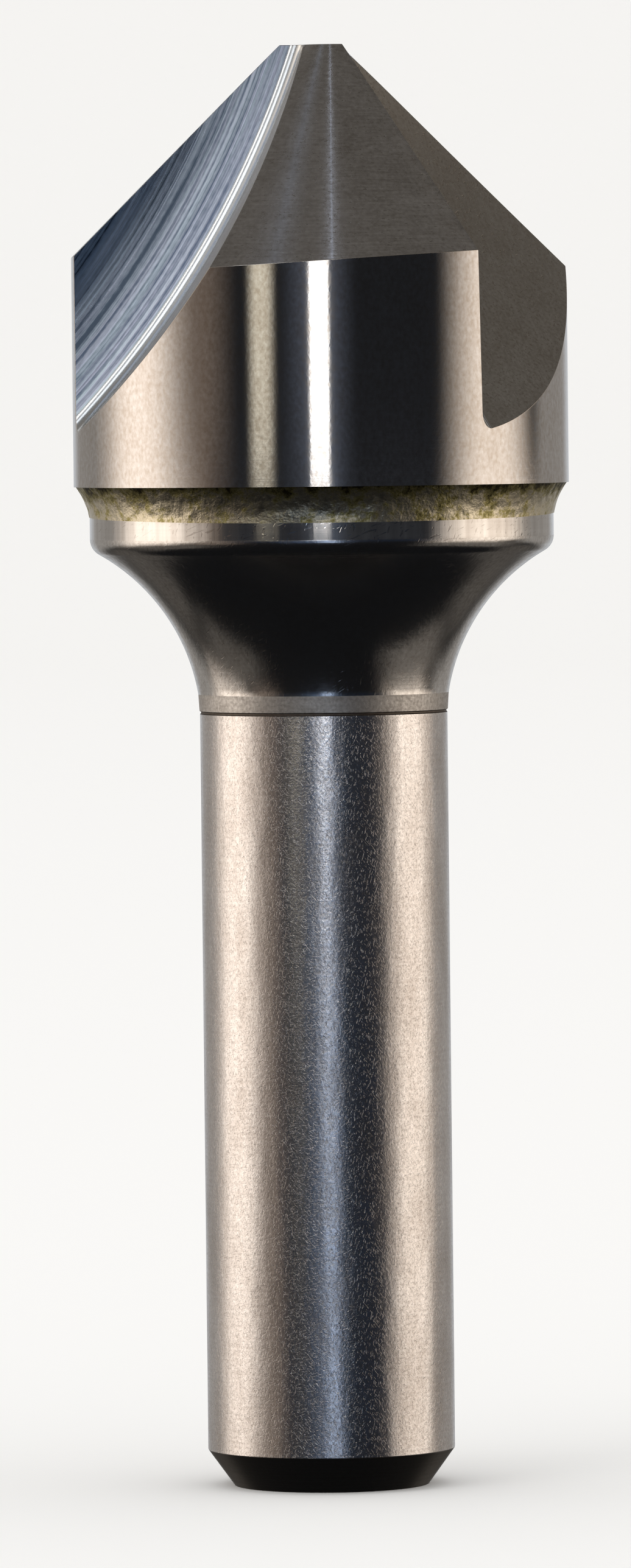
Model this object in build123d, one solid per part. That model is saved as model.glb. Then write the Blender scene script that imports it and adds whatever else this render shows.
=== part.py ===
from build123d import *
import math
import os

# Countersink bit with a ground carbide head brazed to a turned steel shank.
# The origin is the centre of the shank's end face and +Z runs up the axis to the tip.
# Lengths are in millimetres and angles in degrees.

# Shank
shank_diameter = 12.7
shank_length = 39.85
end_chamfer_width = 1.35
end_chamfer_length = 1.87
groove_width = 0.12
groove_depth = 0.05
neck_foot_diameter = 12.75
neck_top_diameter = 12.86
neck_height = 0.87
flare_radius = 10.24
flare_start_angle = 9.3
collar_height = 3.08
collar_corner_radius = 0.9

# Braze
collar_step = 0.8
braze_thickness = 0.15
braze_fillet_height = 1.85
braze_fillet_radius = 3.2
braze_edge_step = 0.1

# Head
head_diameter = 25.4
head_side_height = 11.83
point_angle = 90.0
tip_flat_radius = 2.0

# Lands: each is ground on a cone whose axis stands off the tool's axis
flute_count = 3
first_edge_direction = -52.5
relief_offset = 0.7
relief_lead_angle = 59.0

# Flutes: each is the path of a grinding wheel whose flat side cuts the rake face
rake_ahead_of_axis = 0.18
rake_lean_angle = 1.25
wheel_radius = 52.2
wheel_corner_radius = 0.6
floor_lean_angle = 3.1
core_radius = 0.78
flute_runout_height = 2.75

# Radii
shank_radius = shank_diameter / 2
neck_foot_radius = neck_foot_diameter / 2
neck_top_radius = neck_top_diameter / 2
head_radius = head_diameter / 2
collar_radius = head_radius - collar_step
end_face_radius = shank_radius - end_chamfer_width
groove_radius = shank_radius - groove_depth

# The flare is an arc about a centre outside the tool, a little below the top of the neck band
neck_top = shank_length + neck_height
flare_start = math.radians(flare_start_angle)
flare_centre_radius = neck_top_radius + flare_radius * math.cos(flare_start)
flare_centre_height = neck_top - flare_radius * math.sin(flare_start)

# Heights up the axis
flare_top = flare_centre_height + math.sqrt(flare_radius**2 - (flare_centre_radius - collar_radius) ** 2)
collar_top = flare_top + collar_height
head_bottom = collar_top + braze_thickness
head_corner = head_bottom + head_side_height
half_point = math.radians(point_angle / 2)
head_top = head_corner + (head_radius - tip_flat_radius) / math.tan(half_point)


def make_shank():
    # The collar's lower corner is an arc tangent to the collar's side and to the flare
    corner_radius = collar_radius - collar_corner_radius
    reach = flare_radius + collar_corner_radius
    corner_side = flare_centre_radius - corner_radius
    corner_rise = math.sqrt(reach**2 - corner_side**2)
    corner_height = flare_centre_height + corner_rise
    meet_radius = corner_radius + collar_corner_radius * corner_side / reach
    meet_height = corner_height - collar_corner_radius * corner_rise / reach
    # A point half way along each arc, in the direction of its middle
    corner_slope = math.atan2(corner_rise, corner_side)
    corner_middle = (
        corner_radius + collar_corner_radius * math.cos(corner_slope / 2),
        corner_height - collar_corner_radius * math.sin(corner_slope / 2),
    )
    flare_slope = (corner_slope + flare_start) / 2
    flare_middle = (
        flare_centre_radius - flare_radius * math.cos(flare_slope),
        flare_centre_height + flare_radius * math.sin(flare_slope),
    )
    below_groove = shank_length - groove_width
    with BuildPart() as shank:
        with BuildSketch(Plane.XZ):
            with BuildLine():
                lower = Polyline(
                    (0, 0),
                    (end_face_radius, 0),
                    (shank_radius, end_chamfer_length),
                    (shank_radius, below_groove),
                    (groove_radius, below_groove),
                    (groove_radius, shank_length),
                    (neck_foot_radius, shank_length),
                    (neck_top_radius, neck_top),
                )
                flare = ThreePointArc(lower @ 1, flare_middle, (meet_radius, meet_height))
                corner = ThreePointArc(flare @ 1, corner_middle, (collar_radius, corner_height))
                Polyline(corner @ 1, (collar_radius, collar_top), (0, collar_top), (0, 0))
            make_face()
        revolve(axis=Axis.Z)
    return shank.part


def make_braze():
    # A thin layer fills the joint, and a hollow fillet runs from the head's edge down the collar
    edge_radius = head_radius - braze_edge_step
    fillet_foot = head_bottom - braze_fillet_height
    rise = head_bottom - fillet_foot
    run = edge_radius - collar_radius
    chord = math.hypot(rise, run)
    hollow = braze_fillet_radius - math.sqrt(braze_fillet_radius**2 - (chord / 2) ** 2)
    fillet_middle = (
        (edge_radius + collar_radius) / 2 - hollow * rise / chord,
        (head_bottom + fillet_foot) / 2 + hollow * run / chord,
    )
    with BuildPart() as braze:
        with BuildSketch(Plane.XZ):
            with BuildLine():
                top = Polyline((0, collar_top), (0, head_bottom), (edge_radius, head_bottom))
                outside = ThreePointArc(top @ 1, fillet_middle, (collar_radius, fillet_foot))
                Polyline(outside @ 1, (collar_radius, collar_top), (0, collar_top))
            make_face()
        revolve(axis=Axis.Z)
    return braze.part


def make_land():
    # One sector of the head, out to the cone ground about its own offset axis.
    # The sector's sides lie inside the flutes. The offset cone passes through the cutting edge's
    # outer corner and falls away behind it, because its axis is offset ahead of the edge.
    sector_angle = 360 / flute_count
    edge_ahead = rake_ahead_of_axis + (head_top - head_corner) * math.tan(math.radians(rake_lean_angle))
    edge_angle = math.degrees(math.asin(edge_ahead / head_radius))
    lead = math.radians(relief_lead_angle)
    ground_radius = math.sqrt(
        head_radius**2 + relief_offset**2 - 2 * head_radius * relief_offset * math.cos(lead)
    )
    cone_top = head_corner + ground_radius / math.tan(half_point)
    cone_base_radius = (cone_top - head_bottom) * math.tan(half_point)
    cone_tip_radius = (cone_top - head_top) * math.tan(half_point)
    on_axis = (Align.NONE, Align.NONE, Align.MIN)
    sector = Cylinder(head_radius, head_top - head_bottom, arc_size=sector_angle, align=on_axis)
    sector = Pos(0, 0, head_bottom) * Rot(0, 0, -0.75 * sector_angle) * sector
    cone = Cone(cone_base_radius, cone_tip_radius, head_top - head_bottom, align=on_axis)
    cone = Rot(0, 0, edge_angle + relief_lead_angle) * Pos(relief_offset, 0, head_bottom) * cone
    return sector & cone


def make_wheel():
    # The wheel passes through the floor's ends: beside the core at the tip, and at the head's side
    runout = head_bottom + flute_runout_height
    across = head_radius - core_radius
    down = head_top - runout
    chord = math.hypot(across, down)
    to_centre = math.sqrt(wheel_radius**2 - (chord / 2) ** 2)
    centre_radius = (head_radius + core_radius) / 2 + to_centre * down / chord
    centre_height = (head_top + runout) / 2 + to_centre * across / chord
    # Its side is flat, its corner is round and its rim is slightly conical
    width = head_diameter
    rim_radius = wheel_radius - (width - wheel_corner_radius) * math.tan(math.radians(floor_lean_angle))
    corner_reach = wheel_corner_radius * math.sin(math.radians(45))
    corner_middle = (
        wheel_radius - wheel_corner_radius + corner_reach,
        wheel_corner_radius - corner_reach,
    )
    with BuildPart() as wheel:
        with BuildSketch(Plane.XY):
            with BuildLine():
                side = Line((0, 0), (wheel_radius - wheel_corner_radius, 0))
                corner = ThreePointArc(side @ 1, corner_middle, (wheel_radius, wheel_corner_radius))
                Polyline(corner @ 1, (rim_radius, width), (0, width), (0, 0))
            make_face()
        revolve(axis=Axis.Y)
    at_tip = Pos(0, rake_ahead_of_axis, head_top) * Rot(rake_lean_angle, 0, 0)
    return at_tip * Pos(centre_radius, 0, centre_height - head_top) * wheel.part


def make_head():
    # The lands join round the axis, and one flute is ground ahead of each cutting edge
    land = make_land()
    wheel = make_wheel()
    sector_angle = 360 / flute_count
    turns = [Rot(0, 0, first_edge_direction + sector_angle * number) for number in range(flute_count)]
    blank = Part() + [turn * land for turn in turns]
    return blank - [turn * wheel for turn in turns]


pieces = {
    "carbide_head": make_head(),
    "braze_joint": make_braze(),
    "shank": make_shank(),
}

os.makedirs("parts", exist_ok=True)
for name, piece in pieces.items():
    export_step(piece, "parts/" + name + ".step")
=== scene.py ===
import math
import bmesh
import bpy
import numpy as np
from mathutils import Matrix, Vector, geometry, noise


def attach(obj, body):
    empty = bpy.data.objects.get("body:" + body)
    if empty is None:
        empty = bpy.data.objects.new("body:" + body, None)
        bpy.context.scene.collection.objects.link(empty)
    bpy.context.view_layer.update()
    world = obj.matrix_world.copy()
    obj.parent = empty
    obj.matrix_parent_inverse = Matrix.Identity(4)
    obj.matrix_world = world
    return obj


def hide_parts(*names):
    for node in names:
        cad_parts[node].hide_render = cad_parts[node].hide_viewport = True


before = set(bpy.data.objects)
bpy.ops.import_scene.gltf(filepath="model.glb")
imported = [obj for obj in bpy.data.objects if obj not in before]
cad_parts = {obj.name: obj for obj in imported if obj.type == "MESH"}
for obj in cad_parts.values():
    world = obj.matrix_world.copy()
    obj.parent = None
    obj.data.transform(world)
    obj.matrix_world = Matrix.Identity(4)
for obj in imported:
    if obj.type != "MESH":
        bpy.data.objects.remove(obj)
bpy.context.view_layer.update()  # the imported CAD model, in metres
print("frame loaded:", ", ".join(sorted(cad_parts)))

scene = bpy.context.scene
scene.view_settings.view_transform = "Standard"
mm = 0.001  # shapes below are worked out in millimetres and scaled by this at the end


# ---- helpers for shapes

onAxis = 1e-6  # in mm: a point nearer to the axis than this lies on it
samePlace = 1e-5  # in mm: neighbours on an outline that are nearer than this are one point
weld = 0.001  # in mm: points of neighbouring surfaces that are joined
nudge = 1e-4  # a short step along a curve, to find which way it runs
smoothTurn = 0.99  # cosine between two curves that run smoothly into each other


def turned(points, degrees):
    # points turned about the tool's axis
    turn = math.radians(degrees)
    flat = np.array([[math.cos(turn), math.sin(turn), 0], [-math.sin(turn), math.cos(turn), 0], [0, 0, 1]])
    return np.asarray(points) @ flat


def crossing(inside, start, end, steps=48):
    # where inside() changes from true at start to false at end, for whole arrays at once
    start, end = np.broadcast_arrays(np.asarray(start, float), np.asarray(end, float))
    for step in range(steps):
        middle = (start + end) / 2
        held = inside(middle)
        start, end = np.where(held, middle, start), np.where(held, end, middle)
    return (start + end) / 2


def traced(curve, start, end, spacing, samples=240):
    # even points along a curve that is given as a function of one number
    steps = np.linspace(start, end, samples)
    walked = np.concatenate([[0], np.cumsum(np.linalg.norm(np.diff(curve(steps), axis=0), axis=1))])
    count = max(2, math.ceil(walked[-1] / spacing))
    return curve(np.interp(np.linspace(0, walked[-1], count + 1), walked, steps))


def withinOutline(points, outline):
    # even-odd rule
    x, y = points[:, :1], points[:, 1:]
    ax, ay = outline[:, 0], outline[:, 1]
    bx, by = np.roll(ax, -1), np.roll(ay, -1)
    rise = np.where(by == ay, 1, by - ay)
    hits = ((ay > y) != (by > y)) & (x < (bx - ax) * (y - ay) / rise + ax)
    return hits.sum(axis=1) % 2 == 1


def filled(outline, spacing, stretch=1.0, clearOfRim=0.55):
    # triangles over a flat outline: its own points plus an even lattice inside it, whose rows are half a step
    # out of line with each other
    outline = np.asarray(outline, float)
    low, high = outline.min(axis=0), outline.max(axis=0)
    rowGap = spacing * math.sqrt(0.75) * stretch
    rows = np.arange(low[1] + rowGap / 2, high[1], rowGap)
    lattice = []
    for number, level in enumerate(rows):
        across = np.arange(low[0] + spacing * (0.25 + 0.5 * (number % 2)), high[0], spacing)
        lattice.append(np.column_stack([across, np.full(len(across), level)]))
    lattice = np.concatenate(lattice) if lattice else np.zeros((0, 2))
    lattice = lattice[withinOutline(lattice, outline)]
    squeeze = np.array([1, 1 / stretch])
    middles = (outline + np.roll(outline, -1, axis=0)) / 2
    rim = np.concatenate([outline, middles]) * squeeze
    if len(lattice):
        clear = np.sqrt((((lattice * squeeze)[:, None] - rim[None]) ** 2).sum(axis=2)).min(axis=1)
        lattice = lattice[clear > clearOfRim * spacing]
    given = [Vector(point) for point in np.concatenate([outline, lattice]) * squeeze]
    insideOnly, touching = 1, 1e-6
    made = geometry.delaunay_2d_cdt(given, [], [list(range(len(outline)))], insideOnly, touching)
    corners, triangles = made[0], made[2]
    return np.array([tuple(corner) for corner in corners]) / squeeze, [list(face) for face in triangles]


def lathed(rows, steps, marksRadius, place=None):
    # a closed turned body; its rows run from axis to axis, each with radius, height, facing out, facing up,
    # walk along the profile and finish, in mm
    bm = bmesh.new()
    marksLayer = bm.loops.layers.uv.new("marks")
    angles = [2 * math.pi * number / steps for number in range(steps)]
    rings = []
    for radius, height, *rest in rows:
        if radius < onAxis:
            rings.append([bm.verts.new((0, 0, height * mm))] * steps)
            continue
        ring = []
        for angle in angles:
            reach, level = place(angle, radius, height) if place else (radius, height)
            x, y = reach * math.cos(angle), reach * math.sin(angle)
            ring.append(bm.verts.new((x * mm, y * mm, level * mm)))
        rings.append(ring)
    facings = []
    for low, high, ring, nextRing in zip(rows, rows[1:], rings, rings[1:]):
        for number in range(steps):
            following = (number + 1) % steps
            corners = [
                (ring, number, low), (ring, following, low),
                (nextRing, following, high), (nextRing, number, high)]
            if low[0] < onAxis:
                corners.pop(1)
            if high[0] < onAxis:
                corners.pop(2)
            face = bm.faces.new([verts[spot] for verts, spot, row in corners])
            face.smooth = True
            face.material_index = high[-1]
            for loop, (verts, spot, row) in zip(face.loops, corners):
                out, rise, walk = row[2:5]
                along = number + (1 if spot == following else 0)
                loop[marksLayer].uv = (along * 2 * math.pi * marksRadius / steps, walk)
                facings.append(Vector((out * math.cos(angles[spot]), out * math.sin(angles[spot]), rise)))
    return bm, facings


def profileRows(parts, cornerBreak):
    # lines (start, end, rows, finish) and arcs (centre, radius, angles, rows, finish), in order, become lathe
    # rows; hard corners between them are broken by a narrow flat
    curves = []
    for *form, count, finish in parts:
        if len(form) == 2:
            start, end = (np.array(point, float) for point in form)
            length = np.linalg.norm(end - start)
            curves.append((length, lambda t, a=start, b=end: a + (b - a) * t[:, None]))
        else:
            centre, size = np.array(form[0], float), form[1]
            a, b = (math.radians(angle) for angle in form[2])
            curves.append((size * abs(b - a), lambda t, c=centre, r=size, a=a, b=b:
                           c + r * np.column_stack([np.cos(a + (b - a) * t), np.sin(a + (b - a) * t)])))
    ways = []  # which way each curve sets off and arrives
    for length, curve in curves:
        ends = curve(np.array([0, nudge, 1 - nudge, 1]))
        steps = ends[1] - ends[0], ends[3] - ends[2]
        ways.append([step / np.linalg.norm(step) for step in steps])
    rows, walk = [], 0.0
    for number, ((*form, count, finish), (length, curve)) in enumerate(zip(parts, curves)):
        hardStart = number > 0 and np.dot(ways[number - 1][1], ways[number][0]) < smoothTurn
        hardEnd = number + 1 < len(parts) and np.dot(ways[number][1], ways[number + 1][0]) < smoothTurn
        trim = min(cornerBreak, length / 4) / length
        t = np.linspace(trim if hardStart else 0, 1 - trim if hardEnd else 1, count + 1)
        before, after = curve(t - nudge), curve(t + nudge)
        for point, way, share in zip(curve(t), after - before, t):
            way = way / np.linalg.norm(way)
            if rows and not hardStart and share == t[0]:
                continue
            rows.append((point[0], point[1], way[1], -way[0], walk + share * length, finish))
        walk += length
    return rows


def meshObject(name, bm, materials, facings=None):
    mesh = bpy.data.meshes.new(name)
    bm.to_mesh(mesh)
    bm.free()
    if facings:
        mesh.normals_split_custom_set(facings)
    for material in materials:
        mesh.materials.append(material)
    piece = bpy.data.objects.new(name, mesh)
    scene.collection.objects.link(piece)
    return piece


# ---- helpers for materials

def linear(code):
    # sRGB hex to the linear colour that shaders want
    parts = [int(code[place:place + 2], 16) / 255 for place in (1, 3, 5)]
    parts = [part / 12.92 if part <= 0.04045 else ((part + 0.055) / 1.055)**2.4 for part in parts]
    return (*parts, 1.0)


def add(tree, kind, inputs=None, **settings):
    # one node with its settings and links; an input is a value, an output, or a node for its first output
    node = tree.nodes.new("ShaderNode" + kind)
    for name, value in settings.items():
        setattr(node, name, value)
    for name, value in (inputs or {}).items():
        if isinstance(value, bpy.types.Node):
            value = value.outputs[0]
        if isinstance(value, bpy.types.NodeSocket):
            tree.links.new(value, node.inputs[name])
        else:
            node.inputs[name].default_value = value
    return node


def newMaterial(name):
    material = bpy.data.materials.new(name)
    material.use_nodes = True
    tree = material.node_tree
    tree.nodes.clear()
    return material, tree


# what all the bare metals share; each noise is (where in the noise it is read, detail)
allMetals = {
    "noises": {
        "marks": (3.0, 3.0), "mottle": (11.0, 3.0), "waves": (23.0, 2.0),
        "dents": (31.0, 1.0), "temper": (47.0, 1.0)},
    "dentStep": 9.0,  # how far apart in the noise the dents of each angle are read
    "noiseRoughness": 0.55,
    "crest": 0.05,  # how much higher than its edge a dent's full depth is read
    "toneReach": 0.3,  # how far the shade swings about its middle before it is fully dark or light
    "acrossMarks": 0.25,  # a quarter turn, so highlights stretch across the marks
    "oilRoughness": 0.03,
}


def groundMetal(name, look):
    # bare metal cut by a wheel or a turning tool: marks along the cut, a fine mottle, slow waves, stray dents
    material, tree = newMaterial(name)
    cut = add(tree, "UVMap", uv_map="marks")
    solid = add(tree, "TexCoord").outputs["Object"]

    def pattern(kind, size, alongCut=True, turn=0.0, step=0):
        # noise in the plane of the cut, with grains as long and as wide as size says, in mm; or else solid
        # noise, which has no seam round a turned face, with size (across, up the axis)
        offset, detail = allMetals["noises"][kind]
        offset += allMetals["dentStep"] * step
        mapped = add(tree, "Mapping", {
            "Vector": cut if alongCut else solid, "Rotation": (0, 0, turn),
            "Location": (offset, offset / 2, 0) if alongCut else (offset * mm, 0, 0),
            "Scale": (size[0], size[1], 1) if alongCut else (size[0] * mm, size[0] * mm, size[1] * mm),
        }, vector_type="TEXTURE")
        return add(tree, "TexNoise", {
            "Vector": mapped, "Scale": 1.0, "Detail": detail, "Roughness": allMetals["noiseRoughness"]})

    # height and shade are sums of the patterns, each by its own depth and weight
    height = shade = middle = 0.0
    patterns = {}
    for kind in ("waves", "mottle", "marks"):
        across, up, depth, weight = look[kind]
        patterns[kind] = pattern(kind, (across, up), kind == "marks" or look.get("alongCut", False))
        height = add(tree, "Math", {0: patterns[kind], 1: depth, 2: height}, operation="MULTIPLY_ADD")
        shade = add(tree, "Math", {0: patterns[kind], 1: weight, 2: shade}, operation="MULTIPLY_ADD")
        middle += weight / 2
    if "dents" in look:
        # short dents at several angles: the few highest crests of a stretched noise
        dents = look["dents"]
        for step, turn in enumerate(dents["turns"]):
            crests = add(tree, "MapRange", {
                "Value": pattern("dents", dents["size"], turn=math.radians(turn), step=step),
                "From Min": dents["above"], "From Max": dents["above"] + allMetals["crest"]})
            height = add(tree, "Math", {0: crests, 1: -dents["depth"], 2: height}, operation="MULTIPLY_ADD")
            shade = add(tree, "Math", {0: crests, 1: dents["shade"], 2: shade}, operation="MULTIPLY_ADD")
    reach = allMetals["toneReach"]
    span = {"Value": shade, "From Min": middle - reach, "From Max": middle + reach}
    tone = add(tree, "MapRange", span)
    smooth, rougher = look["roughness"]
    rough = add(tree, "MapRange", {**span, "To Min": rougher, "To Max": smooth})
    dark, light = linear(look["darker"]), linear(look["colour"])
    if "inward" in look:
        # towards the wheel's edge the stone rubbed longer: rougher, with a breath of temper colours; the
        # paler colour there is a painted reflection
        inward = look["inward"]
        outward = add(tree, "SeparateXYZ", {"Vector": cut}).outputs["Y"]
        uneven = add(tree, "Math", {
            0: patterns["waves"], 1: inward["uneven"], 2: outward}, operation="MULTIPLY_ADD")
        near = add(tree, "MapRange", {
            "Value": uneven, "From Min": inward["from"] + inward["uneven"] / 2,
            "From Max": inward["to"] + inward["uneven"] / 2}, interpolation_type="SMOOTHSTEP")
        dark = add(tree, "Mix", {
            "Factor": near, 6: dark, 7: linear(inward["darker"])}, data_type="RGBA").outputs[2]
        light = add(tree, "Mix", {
            "Factor": near, 6: light, 7: linear(inward["colour"])}, data_type="RGBA").outputs[2]
        rough = add(tree, "Math", {0: near, 1: inward["rougher"], 2: rough}, operation="MULTIPLY_ADD")
    colour = add(tree, "Mix", {"Factor": tone, 6: dark, 7: light}, data_type="RGBA").outputs[2]
    if "inward" in look:
        drift = add(tree, "MapRange", {
            "Value": pattern("temper", inward["temperSize"]),
            "From Min": inward["violetAt"], "From Max": inward["cyanAt"]})
        violet, cyan = linear(inward["violet"]), linear(inward["cyan"])
        temper = add(tree, "Mix", {"Factor": drift, 6: violet, 7: cyan}, data_type="RGBA").outputs[2]
        share = add(tree, "Math", {0: near, 1: inward["temper"]}, operation="MULTIPLY")
        colour = add(tree, "Mix", {
            "Factor": share, 6: colour, 7: temper}, data_type="RGBA", blend_type="MULTIPLY").outputs[2]
    shader = add(tree, "BsdfPrincipled", {
        "Base Color": colour, "Metallic": 1.0, "Roughness": rough,
        "Normal": add(tree, "Bump", {"Height": height, "Strength": 1.0, "Distance": mm}),
        "Anisotropic": look["anisotropic"], "Anisotropic Rotation": allMetals["acrossMarks"],
        "Coat Weight": look.get("oil", 0.0), "Coat Roughness": allMetals["oilRoughness"],
        "Tangent": add(tree, "Tangent", direction_type="UV_MAP", uv_map="marks")})
    add(tree, "OutputMaterial", {"Surface": shader})
    return material


# ---- the head

headShape = {
    "bottom": 51.426,  # heights and lengths in mm, angles in degrees
    "sideHeight": 11.83,
    "radius": 12.7,
    "tipRadius": 2.0,
    "flutes": 3,
    "firstEdge": -52.5,
    "reliefOffset": 0.7,  # how far each land's grinding axis stands off the tool's axis
    "reliefLead": 59.0,
    "rakeAhead": 0.18,
    "rakeLean": 1.25,
    "wheelRadius": 52.2,  # the grinding wheel that cut the flutes
    "wheelCorner": 0.6,
    "floorLean": 3.1,
    "core": 0.78,
    "runout": 2.75,
    "meshSpacing": 0.42,
    "filletSpacing": 0.13,
    "sideStretch": 1.6,  # how much taller than wide the side's triangles are
    "landReach": 8.0,  # about how far a land lies from its own axis
    "marksShift": 37.0,  # so that the marks differ from one third to the next
    "edgeBreak": 0.02,  # honed corners, just wide enough to catch the light
}


def headSurfaces(shape):
    # every ground surface of one third of the head, with the rake face along +X
    top = shape["bottom"] + shape["sideHeight"] + shape["radius"] - shape["tipRadius"]
    corner = shape["bottom"] + shape["sideHeight"]
    radius = shape["radius"]
    lean = math.radians(shape["rakeLean"])
    third = 360 / shape["flutes"]
    ahead = shape["rakeAhead"]

    def rakeDepth(z):
        return ahead + (top - z) * math.tan(lean)

    # the land's cone, about its own axis; it passes through the outer corner of the cutting edge
    edgeAngle = math.asin(rakeDepth(corner) / radius)
    lead, offset = math.radians(shape["reliefLead"]), shape["reliefOffset"]
    coneTop = corner + math.sqrt(radius**2 + offset**2 - 2 * radius * offset * math.cos(lead))
    axis = offset * np.array([math.cos(edgeAngle + lead), math.sin(edgeAngle + lead), 0])
    nextAxis = turned(axis, third)

    # the wheel, which passes beside the core at the tip and runs out of the head's side
    across, down = radius - shape["core"], top - shape["bottom"] - shape["runout"]
    chord = math.hypot(across, down)
    toCentre = math.sqrt(shape["wheelRadius"]**2 - (chord / 2)**2)
    wheelOut = (radius + shape["core"]) / 2 + toCentre * down / chord
    wheelUp = -down / 2 + toCentre * across / chord
    origin = np.array([0, ahead, top])
    upRake = np.array([0, -math.sin(lean), math.cos(lean)])
    offRake = np.array([0, math.cos(lean), math.sin(lean)])
    floorLean = math.tan(math.radians(shape["floorLean"]))
    cornerRadius = shape["wheelCorner"]
    filletRadius = shape["wheelRadius"] - cornerRadius

    def onWheel(angle, reach, depth):
        angle, reach, depth = np.broadcast_arrays(angle, reach, depth)
        out = wheelOut - reach * np.cos(angle)
        up = wheelUp - reach * np.sin(angle)
        onRake = origin + out[..., None] * np.array([1.0, 0, 0]) + up[..., None] * upRake
        return onRake + depth[..., None] * offRake

    def wheelPlace(points):
        away = np.asarray(points) - origin
        out, up = wheelOut - away[:, 0], wheelUp - away @ upRake
        return np.arctan2(up, out), np.hypot(out, up), away @ offRake

    # how far round the wheel's profile: 0 where the rake face ends, cornerWalk where the rounded corner does
    cornerWalk = math.pi / 2 * cornerRadius

    def flutePoint(angle, walk):
        roll, beyond = np.clip(walk / cornerRadius, 0, math.pi / 2), np.maximum(walk - cornerWalk, 0)
        reach = filletRadius + cornerRadius * np.sin(roll) - beyond * floorLean
        return onWheel(angle, reach, cornerRadius * (1 - np.cos(roll)) + beyond)

    def inSide(points):
        return np.hypot(points[..., 0], points[..., 1]) < radius

    def inTip(points):
        return points[..., 2] < top

    def inNextLand(points):
        return np.hypot(points[..., 0] - nextAxis[0], points[..., 1] - nextAxis[1]) < coneTop - points[..., 2]

    # angles on the wheel: beyond the tip, inside the head from either end, and beyond the side
    beyondTip, underTip, deepest, beyondSide = (math.radians(angle) for angle in (8, 20, 42, 50))

    def fluteStart(inside, walk):
        return crossing(lambda angle: inside(flutePoint(angle, walk)), deepest, beyondTip)

    def fluteEnd(walk):
        return crossing(lambda angle: inSide(flutePoint(angle, walk)), underTip, beyondSide)

    def alongTip(walk):
        return flutePoint(fluteStart(inTip, walk), walk)

    def trailingEdge(walk):
        return flutePoint(fluteStart(inNextLand, walk), walk)

    # the next land's trailing edge runs from the tip, where it crosses the fillet, to the side; each end is
    # sought between two walks in mm
    nearTip, farTip, farSide = 0.8 * cornerWalk, 6, 13
    tipWalk = float(crossing(lambda walk: inNextLand(alongTip(walk)), nearTip, farTip))
    sideWalk = float(crossing(lambda walk: inSide(trailingEdge(walk)), cornerWalk, farSide))

    def runOut(walk):
        return flutePoint(fluteEnd(walk), walk)

    def cuttingEdge(z):
        y = rakeDepth(z)
        return np.column_stack([axis[0] + np.sqrt((coneTop - z)**2 - (y - axis[1])**2), y, z])

    def rakeSide(z):
        y = rakeDepth(z)
        return np.column_stack([np.sqrt(radius**2 - y**2), y, z])

    def onNextLand(angle, z):
        reach = coneTop - z
        return np.column_stack([nextAxis[0] + reach * np.cos(angle), nextAxis[1] + reach * np.sin(angle), z])

    def landSide(angle):
        x, y = radius * np.cos(angle), radius * np.sin(angle)
        return np.column_stack([x, y, coneTop - np.hypot(x - nextAxis[0], y - nextAxis[1])])

    def onSide(angle, z):
        return np.column_stack([radius * np.cos(angle), radius * np.sin(angle), 0 * angle + z])

    # the curves where surfaces meet
    gap, fine = shape["meshSpacing"], shape["filletSpacing"]
    fluteTip = traced(alongTip, 0, tipWalk, fine)
    trailingFillet = traced(trailingEdge, tipWalk, cornerWalk, fine)
    trailingFloor = traced(trailingEdge, cornerWalk, sideWalk, gap)
    floorOut = traced(runOut, sideWalk, cornerWalk, gap)
    filletOut = traced(runOut, cornerWalk, 0, fine)
    rakeFillet = traced(
        lambda angle: flutePoint(angle, 0 * angle), float(fluteStart(inTip, 0)), float(fluteEnd(0)), gap)
    filletFloor = traced(
        lambda angle: flutePoint(angle, cornerWalk + 0 * angle),
        float(fluteStart(inNextLand, cornerWalk)), float(fluteEnd(cornerWalk)), gap)
    edge = traced(cuttingEdge, top, corner, gap)
    rakeTip = traced(
        lambda x: np.column_stack([x, 0 * x + ahead, 0 * x + top]), rakeFillet[0][0], edge[0][0], gap / 2)
    rakeOut = traced(rakeSide, corner, rakeFillet[-1][2], gap)

    nextEdge, nextOut, nextTip = turned(edge, third), turned(rakeOut, third), turned(rakeTip, third)
    startAngle, endAngle = (
        math.atan2(p[1] - nextAxis[1], p[0] - nextAxis[0]) for p in (fluteTip[-1], nextEdge[0]))
    landTip = traced(lambda angle: onNextLand(angle, 0 * angle + top), startAngle, endAngle, gap / 2)
    fromAngle, toAngle = (math.atan2(p[1], p[0]) for p in (nextEdge[-1], trailingFloor[-1]))
    landOut = traced(landSide, fromAngle, toAngle, gap)

    foot = rakeOut[-1]
    footAngle = math.atan2(foot[1], foot[0])
    seam = traced(
        lambda z: np.column_stack([0 * z + foot[0], 0 * z + foot[1], z]), foot[2], shape["bottom"], 2 * gap)
    rim = traced(
        lambda angle: onSide(angle, shape["bottom"]), footAngle, footAngle + math.radians(third), gap)
    hub = np.array([[0, 0, top]])
    base = np.array([[0, 0, shape["bottom"]]])

    def joined(*runs):
        # one closed outline from curves that meet end to end
        points = np.concatenate(runs)
        return points[np.linalg.norm(points - np.roll(points, 1, axis=0), axis=1) > samePlace]

    # how each surface is laid flat, to be filled with triangles, and lifted back

    def rakeFlat(points):
        angle, reach, depth = wheelPlace(points)
        return np.column_stack([reach * np.cos(angle), reach * np.sin(angle)])

    def rakeLift(flat):
        return onWheel(np.arctan2(flat[:, 1], flat[:, 0]), np.hypot(flat[:, 0], flat[:, 1]), 0 * flat[:, 0])

    def filletFlat(points):
        angle, reach, depth = wheelPlace(points)
        roll = np.arctan2(reach - filletRadius, cornerRadius - depth)
        return np.column_stack([angle * filletRadius, roll * cornerRadius])

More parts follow.
